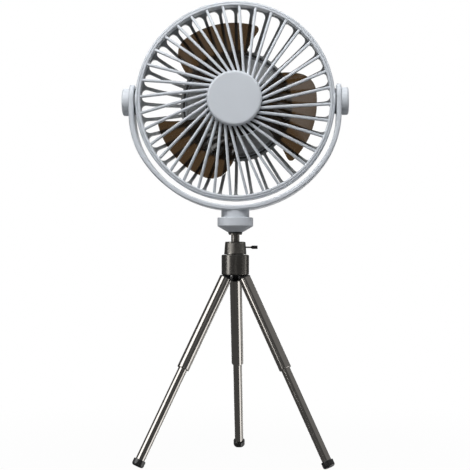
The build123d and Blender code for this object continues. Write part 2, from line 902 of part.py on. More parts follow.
# Motor plate: grey disc in the drum, with a groove around it and four posts behind
plate_flange = plate_front - plate_groove
plate_inner = plate_radius - plate_wall
with BuildPart() as motor_plate:
    with BuildSketch(fan_section):
        with BuildLine():
            Polyline(
                (motor_boss_radius + seat_fit, plate_front),
                (plate_radius, plate_front),
                (plate_radius, plate_flange),
                (drum_bore - seat_fit, plate_flange),
                (drum_bore - seat_fit, drum_ledge + face_gap),
                (plate_inner, drum_ledge + face_gap),
                (plate_inner, plate_back),
                (motor_boss_radius + seat_fit, plate_back),
                close=True,
            )
        outline = make_face()
        chamfer(outline.vertices().sort_by_distance((plate_radius, plate_front))[0], plate_edge)
    revolve(axis=fan_axis)
    with BuildSketch(fan_front.offset(plate_back)):
        with PolarLocations(post_circle, post_count):
            Circle(post_radius)
    extrude(amount=-post_length)
    with BuildSketch(fan_front.offset(post_end)):
        with PolarLocations(post_circle, post_count):
            Circle(cover_screw_radius + seat_fit)
    extrude(amount=cover_screw_length, mode=Mode.SUBTRACT)
    with BuildSketch(fan_front.offset(plate_front)):
        with PolarLocations(motor_screw_circle / 2, 2):
            Circle(motor_screw_radius + seat_fit)
    extrude(amount=-plate_thickness, mode=Mode.SUBTRACT)
finish(motor_plate, "motor_plate")

# Rear cover: closes the drum and carries the button, the charge socket and the screws
with BuildPart() as rear_cover:
    with BuildSketch(fan_section):
        with BuildLine():
            Polyline(
                (0, cover_front),
                (drum_bore - seat_fit - drum_ledge_width, cover_front),
                (drum_bore - seat_fit - drum_ledge_width, cover_front + cover_spigot),
                (drum_bore - seat_fit, cover_front + cover_spigot),
                (drum_bore - seat_fit, cover_front),
                (drum_radius, cover_front),
                (drum_radius, cover_rear),
                (0, cover_rear),
                close=True,
            )
        outline = make_face()
        fillet(outline.vertices().sort_by_distance((drum_radius, cover_rear))[0], cover_edge)
    revolve(axis=fan_axis)
    with BuildSketch(fan_front.offset(cover_front)):
        with PolarLocations(post_circle, post_count):
            Circle(post_radius)
    extrude(amount=post_end - face_gap - cover_front)
    with BuildSketch(fan_front.offset(cover_rear)):
        with PolarLocations(post_circle, post_count):
            Circle(cover_screw_radius + running_fit)
        Circle(button_radius)
        with Locations((0, -socket_drop)):
            SlotOverall(socket_width + 2 * running_fit, socket_height + 2 * running_fit)
    extrude(amount=post_end - cover_rear, mode=Mode.SUBTRACT)
    with BuildSketch(fan_front.offset(cover_rear)):
        with PolarLocations(post_circle, post_count):
            Circle(cover_screw_head_radius + seat_fit)
    extrude(amount=cover_screw_head, mode=Mode.SUBTRACT)
finish(rear_cover, "rear_cover")


def screw_set(name, plane, circle, count, head_radius, head, radius, length):
    """Group of like screws on a circle, heads up from the plane and shanks down from it."""
    with BuildPart() as screws:
        with BuildSketch(plane):
            with PolarLocations(circle, count):
                Circle(head_radius)
        extrude(amount=head)
        with BuildSketch(plane):
            with PolarLocations(circle, count):
                Circle(radius)
        extrude(amount=-length)
    finish(screws, name)


rear_facing = Plane(origin=fan_centre, x_dir=(-1, 0, 0), z_dir=(0, 1, 0))
screw_set(
    "cover_screws",
    rear_facing.offset(-cover_rear - cover_screw_head + face_gap),
    post_circle,
    post_count,
    cover_screw_head_radius,
    cover_screw_head - face_gap,
    cover_screw_radius,
    cover_screw_length + post_end - cover_rear - cover_screw_head - cover_thickness / 2,
)
screw_set(
    "motor_screws",
    fan_front.offset(plate_front + face_gap),
    motor_screw_circle / 2,
    2,
    motor_screw_head_radius,
    motor_screw_head,
    motor_screw_radius,
    motor_screw_length,
)

# Motor: can with a bush at each end, and the shaft that carries the blades
motor_bore = shaft_radius + 2 * running_fit
boss_front = motor_front + motor_boss
with BuildPart() as motor_can:
    with BuildSketch(fan_section):
        with BuildLine():
            Polyline(
                (bush_radius, boss_front),
                (motor_boss_radius, boss_front),
                (motor_boss_radius, motor_front),
                (motor_radius, motor_front),
                (motor_radius, motor_rear),
                (bush_radius, motor_rear),
                (bush_radius, motor_rear + bush_height),
                (motor_bore, motor_rear + bush_height),
                (motor_bore, boss_front - bush_height),
                (bush_radius, boss_front - bush_height),
                close=True,
            )
        make_face()
    revolve(axis=fan_axis)
    with BuildSketch(fan_front.offset(motor_front)):
        with PolarLocations(motor_screw_circle / 2, 2):
            Circle(motor_screw_radius + seat_fit)
    extrude(amount=-motor_screw_length, mode=Mode.SUBTRACT)
finish(motor_can, "motor_can")

with BuildPart() as shaft_bushes:
    for bush_front in (boss_front, motor_rear + bush_height):
        with BuildSketch(fan_front.offset(bush_front)):
            Circle(bush_radius - seat_fit)
            Circle(shaft_radius + running_fit, mode=Mode.SUBTRACT)
        extrude(amount=-bush_height)
finish(shaft_bushes, "shaft_bushes")

turned(
    "motor_shaft",
    fan_section,
    fan_axis,
    (0, motor_rear),
    (shaft_radius, motor_rear),
    (shaft_radius, shaft_front),
    (0, shaft_front),
)

# Battery cells, control board, switch, button and charge socket
with BuildPart() as battery_cells:
    for hand in (-1, 1):
        cell_plane = Plane(
            origin=(-cell_length / 2, axis_y - cell_y, pivot_z + hand * cell_offset),
            z_dir=(1, 0, 0),
        )
        with BuildSketch(cell_plane):
            Circle(cell_radius)
        extrude(amount=cell_length - cell_end)
        with BuildSketch(cell_plane):
            Circle(cell_end_radius)
        extrude(amount=cell_length)
finish(battery_cells, "battery_cells")

with BuildPart() as control_board:
    with BuildSketch(fan_front.offset(board_front)):
        Rectangle(board_width, board_height)
        with Locations((0, -socket_drop)):
            SlotOverall(
                socket_width + 2 * running_fit, socket_height + 2 * running_fit, mode=Mode.SUBTRACT
            )
    extrude(amount=-board_thickness)
finish(control_board, "control_board")

with BuildPart() as switch_block:
    with BuildSketch(fan_front.offset(board_rear)):
        RectangleRounded(switch_size, switch_size, button_round)
    extrude(amount=-switch_height)
finish(switch_block, "switch_block")

button_front = switch_rear - button_travel - side_gap
with BuildPart() as speed_button:
    with BuildSketch(fan_section):
        with BuildLine():
            Polyline(
                (0, button_front),
                (button_flange_radius, button_front),
                (button_flange_radius, button_front - button_flange),
                (button_radius - running_fit, button_front - button_flange),
                (button_radius - running_fit, cover_rear - button_proud),
                (0, cover_rear - button_proud),
                close=True,
            )
        outline = make_face()
        corner = (button_radius - running_fit, cover_rear - button_proud)
        fillet(outline.vertices().sort_by_distance(corner)[0], button_round)
    revolve(axis=fan_axis)
finish(speed_button, "speed_button")

with BuildPart() as charge_socket:
    with BuildSketch(fan_front.offset(cover_rear)):
        with Locations((0, -socket_drop)):
            SlotOverall(socket_width, socket_height)
    extrude(amount=socket_depth)
    with BuildSketch(fan_front.offset(cover_rear)):
        with Locations((0, -socket_drop)):
            SlotOverall(socket_width - 2 * socket_wall, socket_height - 2 * socket_wall)
            Rectangle(socket_tongue_width, socket_tongue, mode=Mode.SUBTRACT)
    extrude(amount=socket_depth - socket_floor, mode=Mode.SUBTRACT)
finish(charge_socket, "charge_socket")

# Blades: a cambered helical sheet, lofted outwards from the hub and trimmed to the blade's outline
with BuildPart() as blade:
    for share in (0.0, 0.35, 0.7, 1.0):
        span = blade_inner + share * (blade_outer - blade_inner)
        half = span * tan(radians(blade_reach))
        rise = blade_pitch * radians(blade_reach)
        thick = blade_root_thickness + share * (blade_tip_thickness - blade_root_thickness)
        sag = blade_level - blade_camber
        with BuildSketch(Plane(origin=(span, axis_y, pivot_z), x_dir=(0, 0, 1), z_dir=(1, 0, 0))):
            with BuildLine():
                ThreePointArc(
                    (-half, blade_level - rise + thick / 2),
                    (0, sag + thick / 2),
                    (half, blade_level + rise + thick / 2),
                )
                Line(
                    (half, blade_level + rise + thick / 2), (half, blade_level + rise - thick / 2)
                )
                ThreePointArc(
                    (half, blade_level + rise - thick / 2),
                    (0, sag - thick / 2),
                    (-half, blade_level - rise - thick / 2),
                )
                Line(
                    (-half, blade_level - rise - thick / 2),
                    (-half, blade_level - rise + thick / 2),
                )
            make_face()
    loft()
    root = hub_radius - hub_wall / 2
    with BuildSketch(fan_front) as blade_outline:
        with BuildLine():
            Spline(
                polar(root, blade_lead[0]),
                polar(blade_mid, blade_lead[1]),
                polar(blade_tip, blade_lead[2]),
            )
            ThreePointArc(
                polar(blade_tip, blade_lead[2]),
                polar(blade_tip, (blade_lead[2] + blade_trail[2]) / 2),
                polar(blade_tip, blade_trail[2]),
            )
            Spline(
                polar(blade_tip, blade_trail[2]),
                polar(blade_mid, blade_trail[1]),
                polar(root, blade_trail[0]),
            )
            ThreePointArc(
                polar(root, blade_trail[0]),
                polar(root, (blade_lead[0] + blade_trail[0]) / 2),
                polar(root, blade_lead[0]),
            )
        make_face()
        lead_corner = polar(blade_tip, blade_lead[2])
        trail_corner = polar(blade_tip, blade_trail[2])
        fillet(blade_outline.vertices().sort_by_distance(lead_corner)[0], blade_lead_round)
        fillet(blade_outline.vertices().sort_by_distance(trail_corner)[0], blade_trail_round)
    extrude(amount=blade_tip, both=True, mode=Mode.INTERSECT)

hub_face = hub_front - hub_wall
blade_step = 360 / blade_count
with BuildPart() as fan_blade:
    with BuildSketch(fan_section):
        with BuildLine():
            Polyline(
                (shaft_radius + seat_fit, hub_front),
                (hub_radius, hub_front),
                (hub_radius, hub_rear),
                (hub_radius - hub_wall, hub_rear),
                (hub_radius - hub_wall, hub_face),
                (hub_boss_radius, hub_face),
                (hub_boss_radius, hub_boss_rear),
                (shaft_radius + seat_fit, hub_boss_rear),
                close=True,
            )
        make_face()
    revolve(axis=fan_axis)
    add([blade.part.rotate(fan_axis, blade_angle + k * blade_step) for k in range(blade_count)])
finish(fan_blade, "fan_blade")

with BuildPart() as blade_nut:
    nut_back = hub_front + face_gap
    with BuildSketch(fan_section):
        with BuildLine():
            Polyline(
                (0, shaft_front + face_gap),
                (shaft_radius + seat_fit, shaft_front + face_gap),
                (shaft_radius + seat_fit, nut_back),
                (nut_radius, nut_back),
                (nut_radius, nut_back + nut_height),
                (0, nut_back + nut_height),
                close=True,
            )
        outline = make_face()
        fillet(outline.vertices().sort_by_distance((nut_radius, nut_back + nut_height))[0], nut_round)
    revolve(axis=fan_axis)
finish(blade_nut, "blade_nut")
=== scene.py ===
"""Looks of the tripod fan: finishes for its solids, fine turned details, and a plain studio."""

import json
import math

import bmesh
import bpy
import numpy as np
from bpy.props import FloatProperty, FloatVectorProperty, IntProperty, PointerProperty
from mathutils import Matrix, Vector


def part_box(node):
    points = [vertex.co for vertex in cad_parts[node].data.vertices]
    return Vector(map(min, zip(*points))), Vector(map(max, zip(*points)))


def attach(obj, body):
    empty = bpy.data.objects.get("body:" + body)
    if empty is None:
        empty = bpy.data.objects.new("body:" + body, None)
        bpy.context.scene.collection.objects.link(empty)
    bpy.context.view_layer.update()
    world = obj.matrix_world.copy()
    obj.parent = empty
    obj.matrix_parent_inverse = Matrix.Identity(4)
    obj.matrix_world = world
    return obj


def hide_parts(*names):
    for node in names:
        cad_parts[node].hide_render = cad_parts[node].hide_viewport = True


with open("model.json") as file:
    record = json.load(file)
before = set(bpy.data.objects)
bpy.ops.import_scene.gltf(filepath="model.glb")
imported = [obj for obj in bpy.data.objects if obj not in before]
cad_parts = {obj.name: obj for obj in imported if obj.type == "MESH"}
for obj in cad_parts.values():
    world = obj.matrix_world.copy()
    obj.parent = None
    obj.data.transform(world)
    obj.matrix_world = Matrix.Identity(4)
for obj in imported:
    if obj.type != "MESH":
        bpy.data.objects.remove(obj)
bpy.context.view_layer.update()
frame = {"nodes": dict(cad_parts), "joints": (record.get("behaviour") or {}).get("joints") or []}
JOINTS = {joint["name"]: joint for joint in frame["joints"]}
FAN_CENTRE = tuple(JOINTS["head_tilt"]["pos_m"])
BALL_CENTRE = tuple(JOINTS["ball_lean"]["pos_m"])
SIDES = ("left", "right", "rear")
WHITE = (1.0, 1.0, 1.0, 1.0)

# Lamps and cards face this point, a little below the fan's centre
STUDIO_CENTRE = (0.0, FAN_CENTRE[1], 0.24)

# Lamps: name, place, width and height in metres, and power in watts
LAMPS = (
    ("key_softbox", (-0.11, -0.644, 1.141), 0.8, 0.65, 15.5),
    ("rear_left", (-0.98, 0.99, 0.36), 0.8, 0.8, 6.8),
    ("rear_right", (0.98, 0.99, 0.36), 0.8, 0.8, 6.8),
)

# Cards that only gloss shows: name, azimuths and elevations in degrees, distance and strength.
# Azimuth 0 is the front and 90 the right
CARDS = (
    ("front_flag", (-205, 115), (-85, 70), 3.2, 0.16),
    ("rear_flag", (115, 155), (-12, 70), 3.2, 0.14),
    ("left_card", (-78, -28), (16, 55), 2.6, 4.2),
    ("level_card", (-70, -49), (-3, 16), 2.6, 4.8),
    ("right_card", (10, 150), (14, 68), 2.8, 0.4),
    ("low_card", (62, 97), (-60, -8), 2.6, 3.0),
    ("edge_card", (94, 106), (-8, 14), 2.6, 1.6),
    ("top_card", (-180, 180), (68, 89), 2.6, 2.0),
    ("back_card", (169, 191), (-20, 50), 2.6, 3.0),
    ("front_card", (-5, 14), (-22, -7), 2.6, 1.7),
)

bl_info = {
    "name": "Tripod fan looks",
    "version": (1, 0, 0),
    "blender": (4, 5, 0),
    "location": "3D View > Sidebar > Fan",
    "description": "Finishes, turned details and studio for a fan on a mini tripod",
    "category": "Object",
}


def colour(name, description, default):
    """Colour property of a finish."""
    return FloatVectorProperty(
        name=name, description=description, default=default, size=3, subtype="COLOR", min=0, max=1
    )


def length(name, description, default):
    """Length property in metres."""
    return FloatProperty(
        name=name, description=description, default=default, unit="LENGTH", precision=5
    )


def angle(name, description, degrees):
    """Angle property, given in degrees."""
    return FloatProperty(
        name=name, description=description, default=math.radians(degrees), subtype="ANGLE"
    )


def amount(name, description, default):
    """Plain number property that isn't negative."""
    return FloatProperty(name=name, description=description, default=default, min=0)


class FanShellSettings(bpy.types.PropertyGroup):
    """Moulded plastic of the fan's head, yoke and collar."""

    shell: colour("Shell", "Blue-grey satin plastic of the outside", (0.50, 0.53, 0.57))
    # The guard's grey, darker than the shell, is partly the ribs' own plastic and partly painted
    # shade inside the bowl
    guard: colour("Guard", "Darker plastic of the ribs and the motor drum", (0.285, 0.295, 0.30))
    plate: colour("Plate", "Plastic of the disc in front of the motor", (0.34, 0.35, 0.36))
    shell_roughness: amount("Shell roughness", "Roughness of the outside", 0.48)
    guard_roughness: amount("Guard roughness", "Roughness of ribs, drum, disc and cover", 0.45)
    # Painted shade: inside this radius the guard is darkened to stand for shade in the drum's bore
    drum: length("Drum", "Distance from the fan's axis where the drum's dark bore ends", 0.0476)
    bore_painted_shade: amount("Bore painted shade", "Tone of that bore against the ribs", 0.15)
    rim: length("Rim", "Distance from the fan's axis where the rim's colour starts", 0.0830)
    # Painted light on the motor disc: a highlight ring on the lip and on the rim, and painted shade
    # in the groove around the hub
    lip_highlight_radius: length("Lip highlight radius", "Radius of that disc's bright lip around the hub", 0.0272)
    highlight_width: length("Highlight width", "Width of that disc's bright lip and rim", 0.0009)
    painted_highlight_tone: amount("Painted highlight tone", "Tone of lip and rim against the shell", 1.5)
    groove_painted_shade: amount("Groove painted shade", "Tone of the groove around the hub", 0.08)
    grain: length("Grain", "Depth of the moulded grain", 0.000004)
    edge: length("Edge", "Radius of the moulded edges", 0.0005)


class FanBladeSettings(bpy.types.PropertyGroup):
    """Smoked plastic of the blades."""

    smoke: colour("Smoke", "Tint of the blades", (0.066, 0.037, 0.015))
    clear: FloatProperty(
        name="Clear", description="Share of light that passes", default=0.9, min=0, max=1
    )
    roughness: amount("Roughness", "Roughness of the blades", 0.1)
    gloss: amount("Gloss", "Strength of their mirrored light", 0.3)
    index: amount("Index", "How much they bend light", 1.5)


class FanMetalSettings(bpy.types.PropertyGroup):
    """Metals and black trim of the tripod, and the pieces inside."""

    nickel: colour("Nickel", "Polished black nickel of the tubes", (0.30, 0.285, 0.265))
    turned: colour("Turned", "Turned black nickel of the tripod's head", (0.15, 0.142, 0.13))
    steel: colour("Steel", "Plated steel of screws and shafts", (0.55, 0.55, 0.54))
    brass: colour("Brass", "Turned brass of insert and bushes", (0.62, 0.43, 0.17))
    black: colour("Black", "Black plastic and rubber", (0.012, 0.012, 0.012))
    black_gloss: amount("Black gloss", "Strength of the black plastic's mirrored light", 0.12)
    nylon: colour("Nylon", "Natural nylon of seat and bushes", (0.68, 0.67, 0.62))
    wrap: colour("Wrap", "Shrink wrap of the cells", (0.02, 0.10, 0.24))
    board: colour("Board", "Solder mask of the board", (0.01, 0.10, 0.035))


class FanCollarSettings(bpy.types.PropertyGroup):
    """Knurled collar that clamps the ball."""

    top: length("Top", "Outer radius at the top", 0.00885)
    top_edge: length("Top edge", "Bevel at the top", 0.0004)
    foot_edge: length("Foot edge", "Straight rise at the foot", 0.0002)
    mouth: length("Mouth", "Radius of the opening at the top", 0.0063)
    throat: length("Throat", "Radius of the lip that holds the ball", 0.00557)
    throat_drop: length("Throat drop", "Depth of that lip below the top", 0.0029)
    seat: length("Seat", "Radius of the bore around the ball", 0.0061)
    seat_drop: length("Seat drop", "Depth below the top where that bore starts", 0.0054)
    bore: length("Bore", "Radius of the lower bore", 0.00725)
    bore_drop: length("Bore drop", "Depth below the top where the lower bore starts", 0.00705)
    knurl_count: IntProperty(
        name="Knurl count", description="Diamonds around the collar", default=44, min=8, max=120
    )
    knurl_depth: length("Knurl depth", "Depth of the knurl", 0.00013)
    knurl_slope: amount("Knurl slope", "Slope of the grooves, where 1 is 45 degrees", 0.8)
    knurl_start: amount("Knurl start", "Share of the height where the knurl starts", 0.08)
    knurl_end: amount("Knurl end", "Share of the height where the knurl ends", 0.93)
    knurl_fade: amount("Knurl fade", "Share of the height over which it runs out", 0.02)


class FanFootSettings(bpy.types.PropertyGroup):
    """Rubber feet of the legs."""

    reach: length("Reach", "From a leg's pin to the sole of its foot", 0.1811)
    height: length("Height", "Length of a foot", 0.0058)
    radius: length("Radius", "Radius of a foot", 0.0052)
    bore: length("Bore", "Radius of the socket in a foot", 0.00397)
    sole: length("Sole", "Thickness under the tube", 0.0026)
    sole_round: length("Sole round", "Rounding of the sole", 0.002)
    lip_round: length("Lip round", "Rounding of the mouth", 0.0004)


class FanScrewSettings(bpy.types.PropertyGroup):
    """Screws of the rear cover."""

    circle: length("Circle", "Distance of the screws from the fan's axis", 0.0385)
    head: length("Head", "Radius of a head", 0.0025)
    face: length("Face", "Radius of a head's domed face", 0.0023)
    dome: length("Dome", "Height of the dome", 0.0002)
    head_edge: length("Head edge", "Drop from the dome's top to the head's edge", 0.00035)
    head_height: length("Head height", "Height of a head", 0.00125)
    shank: length("Shank", "Radius of a shank", 0.0011)
    arm: length("Arm", "Length of a recess's arm from the middle", 0.0016)
    slot: length("Slot", "Half the width of an arm", 0.0004)
    recess: length("Recess", "Depth of the recess", 0.0007)
    flank: length("Flank", "Width of the recess's sloping wall", 0.0002)


class FanButtonSettings(bpy.types.PropertyGroup):
    """Speed button in the rear cover."""

    radius: length("Radius", "Radius of the button", 0.00595)
    edge: length("Edge", "Rounding of its edge", 0.0005)
    flange: length("Flange", "Radius of the flange that holds it", 0.007)
    flange_height: length("Flange height", "Thickness of that flange", 0.00045)
    sign_radius: length("Sign radius", "Radius of the sign's ring", 0.0022)
    sign_line: length("Sign line", "Half the width of the sign's lines", 0.00025)
    sign_gap: length("Sign gap", "Half the width of the ring's gap", 0.0008)
    bar_middle: length("Bar middle", "Height of the bar's middle above the centre", 0.0021)
    bar_half: length("Bar half", "Half the length of the bar", 0.0011)
    sign_depth: length("Sign depth", "Depth of the sign", 0.00025)
    sign_flank: length("Sign flank", "Width of the sign's sloping wall", 0.00015)


class FanStageSettings(bpy.types.PropertyGroup):
    """Camera, floor and surrounding light."""

    distance: length("Distance", "Camera from the tripod's axis", 1.094)
    height: length("Height", "Camera above the floor", 0.15505)
    aside: length("Aside", "Camera to the right of the tripod's axis", -0.00026)
    azimuth: angle("Azimuth", "Camera's turn to the right", 2.3)
    pitch: angle("Pitch", "Camera's tilt upwards", 2.03)
    lens: amount("Lens", "Focal length in millimetres", 97.1)
    sensor: amount("Sensor", "Width of the camera's sensor in millimetres", 36.0)
    fill: amount("Fill", "Strength of the surrounding light", 0.27)
    floor_half: length("Floor half", "Half the floor's width", 30.0)
    floor_tone: amount("Floor tone", "Grey of the floor, where it is lit", 0.27)
    floor_glow: amount("Floor glow", "Share of plain white in what shows of the near floor", 0.97)
    glow_start: length("Glow start", "Distance where that share starts to rise", 0.1)
    glow_end: length("Glow end", "Distance from which the floor is plain white", 0.5)


SETTINGS = {
    "fan_shell": FanShellSettings,
    "fan_blades": FanBladeSettings,
    "fan_metal": FanMetalSettings,
    "fan_collar": FanCollarSettings,
    "fan_feet": FanFootSettings,
    "fan_screws": FanScrewSettings,
    "fan_button": FanButtonSettings,
    "fan_stage": FanStageSettings,
}


def set_values(node, values):
    """Set input values of a node."""
    for key, value in values.items():
        node.inputs[key].default_value = value


def feed(tree, node, links):
    """Link sockets to inputs of a node."""
    for key, socket in links.items():
        tree.links.new(socket, node.inputs[key])


def put(tree, kind, values=None, links=None, **fields):
    """Add a node, set its fields and input values, and link its inputs."""
    node = tree.nodes.new(kind)
    for field, value in fields.items():
        setattr(node, field, value)
    set_values(node, values or {})
    feed(tree, node, links or {})
    return node


def new_group(name, inputs, outputs):
    """Empty shader node group with named inputs and outputs."""
    tree = bpy.data.node_groups.new(name, "ShaderNodeTree")
    for label, kind, default in inputs:
        socket = tree.interface.new_socket(label, in_out="INPUT", socket_type=kind)
        socket.default_value = default
    for label, kind in outputs:
        tree.interface.new_socket(label, in_out="OUTPUT", socket_type=kind)
    return tree, tree.nodes.new("NodeGroupInput"), tree.nodes.new("NodeGroupOutput")


def place_group(tree, build, values):
    """Put a node group into a material with its own values, and build the group on first use."""
    group = bpy.data.node_groups.get(build.__name__)
    if group is None:
        group = build(build.__name__)
    return put(tree, "ShaderNodeGroup", values, node_tree=group)


def soft_edges(tree, radius):
    """Normal rounded over sharp edges, and a mask of those edges where it leaves the face's own,
    which the finishes lighten as edge wear and painted highlight.
    """
    soft = put(tree, "ShaderNodeBevel", links={"Radius": radius}, samples=6).outputs["Normal"]
    face = put(tree, "ShaderNodeNewGeometry").outputs["Normal"]
    flat = put(
        tree, "ShaderNodeVectorMath", links={0: soft, 1: face}, operation="DOT_PRODUCT"
    ).outputs["Value"]
    wear_and_highlight = put(
        tree, "ShaderNodeMapRange",
        {"From Min": 0.995, "From Max": 0.80, "To Min": 0.0, "To Max": 1.0}, {"Value": flat},
    ).outputs["Result"]
    return soft, wear_and_highlight


def moulded_skin(name):
    """Moulded skin: fine grain over softened edges, and a slow tone that varies over the piece."""
    tree, source, sink = new_group(
        name,
        [
            ("Grain Scale", "NodeSocketFloat", 2600.0),
            ("Grain Depth", "NodeSocketFloat", 0.00001),
            ("Edge Radius", "NodeSocketFloat", 0.0005),
        ],
        [("Normal", "NodeSocketVector"), ("Tone", "NodeSocketFloat"), ("Wear And Highlight", "NodeSocketFloat")],
    )
    place = put(tree, "ShaderNodeTexCoord").outputs["Object"]
    soft, wear_and_highlight = soft_edges(tree, source.outputs["Edge Radius"])
    grain = put(
        tree, "ShaderNodeTexNoise", {"Detail": 2.0, "Roughness": 0.6},
        {"Vector": place, "Scale": source.outputs["Grain Scale"]},
    ).outputs["Fac"]
    bump = put(
        tree, "ShaderNodeBump", {"Strength": 1.0},
        {"Height": grain, "Distance": source.outputs["Grain Depth"], "Normal": soft},
    ).outputs["Normal"]
    slow = put(
        tree, "ShaderNodeTexNoise", {"Scale": 35.0, "Detail": 3.0}, {"Vector": place}
    ).outputs["Fac"]
    feed(tree, sink, {"Normal": bump, "Tone": slow, "Wear And Highlight": wear_and_highlight})
    return tree


def polished_skin(name):
    """Polished metal: hairlines across an axis, and smudges that dull the shine here and there."""
    tree, source, sink = new_group(
        name,
        [
            ("Stretch", "NodeSocketVector", (60.0, 60.0, 6000.0)),
            ("Line Depth", "NodeSocketFloat", 0.000002),
            ("Edge Radius", "NodeSocketFloat", 0.0003),
        ],
        [("Normal", "NodeSocketVector"), ("Smudge", "NodeSocketFloat"), ("Wear And Highlight", "NodeSocketFloat")],
    )
    place = put(tree, "ShaderNodeTexCoord").outputs["Object"]
    soft, wear_and_highlight = soft_edges(tree, source.outputs["Edge Radius"])
    drawn = put(
        tree, "ShaderNodeVectorMath", links={0: place, 1: source.outputs["Stretch"]},
        operation="MULTIPLY",
    ).outputs["Vector"]
    lines = put(
        tree, "ShaderNodeTexNoise", {"Scale": 1.0, "Detail": 2.0}, {"Vector": drawn}
    ).outputs["Fac"]
    bump = put(
        tree, "ShaderNodeBump", {"Strength": 1.0},
        {"Height": lines, "Distance": source.outputs["Line Depth"], "Normal": soft},
    ).outputs["Normal"]
    smudge = put(
        tree, "ShaderNodeTexNoise", {"Scale": 90.0, "Detail": 4.0}, {"Vector": place}
    ).outputs["Fac"]
    feed(tree, sink, {"Normal": bump, "Smudge": smudge, "Wear And Highlight": wear_and_highlight})
    return tree


def ring_mask(name):
    """Mask of what lies further from the fan's axis than a start, with a soft step of set width."""
    tree, source, sink = new_group(
        name,
        [("Start", "NodeSocketFloat", 0.05), ("Step", "NodeSocketFloat", 0.0002)],
        [("Mask", "NodeSocketFloat")],
    )
    place = put(tree, "ShaderNodeTexCoord").outputs["Object"]
    offset = put(
        tree, "ShaderNodeVectorMath", {1: FAN_CENTRE}, {0: place}, operation="SUBTRACT"
    ).outputs["Vector"]
    flat = put(
        tree, "ShaderNodeVectorMath", {1: (1.0, 0.0, 1.0)}, {0: offset}, operation="MULTIPLY"
    ).outputs["Vector"]
    reach = put(tree, "ShaderNodeVectorMath", links={0: flat}, operation="LENGTH").outputs["Value"]
    past = put(
        tree, "ShaderNodeMath", links={0: reach, 1: source.outputs["Start"]}, operation="SUBTRACT"
    ).outputs[0]
    steps = put(
        tree, "ShaderNodeMath", links={0: past, 1: source.outputs["Step"]}, operation="DIVIDE"
    ).outputs[0]
    mask = put(
        tree, "ShaderNodeMapRange", {"From Min": -0.5, "From Max": 0.5}, {"Value": steps}
    ).outputs["Result"]
    feed(tree, sink, {"Mask": mask})
    return tree


def start_finish(name):
    """New material; returns it with its node tree and its Principled shader."""
    material = bpy.data.materials.new(name)
    material.use_nodes = True
    return material, material.node_tree, material.node_tree.nodes["Principled BSDF"]


def shade(base, factor=1.0):
    """Colour with alpha, made lighter or darker."""
    return tuple(min(1.0, channel * factor) for channel in base) + (1.0,)


def mixed(tree, mask, first, second):
    """Colour between two colours, or colour sockets, by a mask."""
    mix = put(tree, "ShaderNodeMix", data_type="RGBA", links={0: mask})
    for key, value in ((6, first), (7, second)):
        if isinstance(value, bpy.types.NodeSocket):
            tree.links.new(value, mix.inputs[key])
        else:
            mix.inputs[key].default_value = value
    return mix.outputs[2]


def ranged(tree, value, low, high):
    """Value from 0 to 1 spread over a new range."""
    node = put(tree, "ShaderNodeMapRange", {"To Min": low, "To Max": high}, {"Value": value})
    return node.outputs["Result"]


def ringed(tree, tone, rings):
    """Colour in rings around the fan's axis, each from its start outwards; None keeps the tone."""
    blend = tone
    for start, ring in rings:
        mask = place_group(tree, ring_mask, {"Start": start}).outputs["Mask"]
        blend = mixed(tree, mask, blend, tone if ring is None else ring)
    return blend


def moulded_finish(name, base, roughness, grain, edge, scale=2600.0, rings=(), sockets=None):
    """Moulded plastic or rubber: grained, softly edged, with a slightly uneven tone and edges
    lightened as wear and painted highlight.
    """
    # Edges are lightened: partly edge wear, partly a painted highlight
    spread, wear_and_highlight_share, wear_and_highlight_tone = 0.05, 0.25, 1.25
    material, tree, shader = start_finish(name)
    skin = place_group(
        tree, moulded_skin, {"Grain Scale": scale, "Grain Depth": grain, "Edge Radius": edge}
    ).outputs
    tone = mixed(tree, skin["Tone"], shade(base, 1 - spread), shade(base, 1 + spread))
    tone = ringed(tree, tone, rings)
    wear_and_highlight = ranged(tree, skin["Wear And Highlight"], 0.0, wear_and_highlight_share)
    links = {
        "Base Color": mixed(tree, wear_and_highlight, tone, shade(base, wear_and_highlight_tone)),
        "Roughness": ranged(tree, skin["Tone"], roughness - spread, roughness + spread),
        "Normal": skin["Normal"],
    }
    feed(tree, shader, links)
    set_values(shader, sockets or {})
    return material


def polished_finish(name, base, roughness, stretch, depth, edge):
    """Polished or turned metal with hairlines, smudges, and edges lightened as wear and painted
    highlight.
    """
    # Edges are lightened: partly edge wear, partly a painted highlight
    spread, wear_and_highlight_share, wear_and_highlight_tone = 0.1, 0.5, 1.8
    clean, dull = 0.8 * roughness, 1.25 * roughness
    material, tree, shader = start_finish(name)
    skin = place_group(
        tree, polished_skin, {"Stretch": stretch, "Line Depth": depth, "Edge Radius": edge}
    ).outputs
    tone = mixed(tree, skin["Smudge"], shade(base, 1 - spread), shade(base, 1 + spread))
    wear_and_highlight = ranged(tree, skin["Wear And Highlight"], 0.0, wear_and_highlight_share)
    links = {
        "Base Color": mixed(tree, wear_and_highlight, tone, shade(base, wear_and_highlight_tone)),
        "Roughness": ranged(tree, skin["Smudge"], clean, dull),
        "Normal": skin["Normal"],
    }
    feed(tree, shader, links)
    set_values(shader, {"Metallic": 1.0})
    return material


def steel_finish(name, base):
    """Plated steel with fine scratches in every direction."""
    return polished_finish(
        name, base, roughness=0.3, stretch=(900.0, 900.0, 900.0), depth=0.000002, edge=0.0002
    )


def dress(material, *nodes):
    """Give CAD nodes their finish."""
    for name in nodes:
        data = frame["nodes"][name].data
        data.materials.clear()
        data.materials.append(material)


def axis_frame(axis):
    """Two unit vectors across an axis, and the axis itself."""
    axis = np.asarray(axis, float) / np.linalg.norm(axis)
    helper = np.array((0.0, 0.0, 1.0)) if abs(axis[2]) < 0.9 else np.array((1.0, 0.0, 0.0))
    first = np.cross(helper, axis)
    first /= np.linalg.norm(first)
    return first, np.cross(axis, first), axis


def around(turns):
    """Angles of a full turn in equal steps."""
    return np.arange(turns) * (2 * np.pi / turns)


